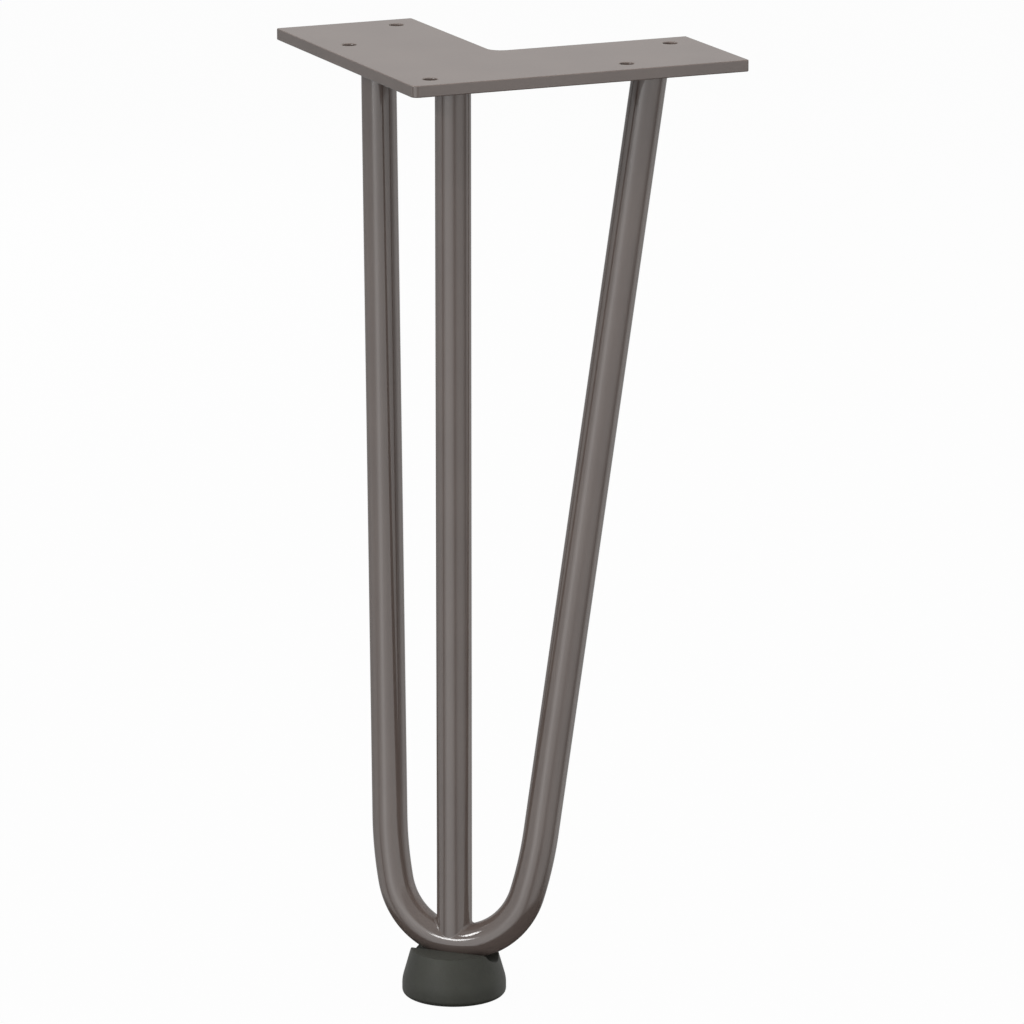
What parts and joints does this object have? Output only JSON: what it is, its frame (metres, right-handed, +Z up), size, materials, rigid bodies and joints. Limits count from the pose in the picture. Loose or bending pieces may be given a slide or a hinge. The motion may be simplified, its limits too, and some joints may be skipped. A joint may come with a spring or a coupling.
{
  "type": "hairpin table leg",
  "caption": "Steel hairpin table leg: L-shaped screw plate over a bent rod and a straight centre rod, welded together, standing on a moulded round foot.",
  "frame": {"origin": "on the top face of the mounting plate, above the top end of the centre rod", "axes": "+Z up, out of the plate's top face towards the table; -Y towards the plate's outer corner; X across the leg, whose plate, centre rod and foot are even about X = 0"},
  "size_m": [0.1704, 0.1196, 0.3188],
  "materials": {
    "powder_coat": "gloss warm grey powder coat with a faint orange peel",
    "foot_plastic": "matte dark grey moulded plastic"
  },
  "bodies": {
    "root": {"mounting_plate": "powder_coat", "hairpin_rod": "powder_coat", "centre_rod": "powder_coat", "plate_welds": "powder_coat", "foot": "foot_plastic"}
  },
  "joints": []
}
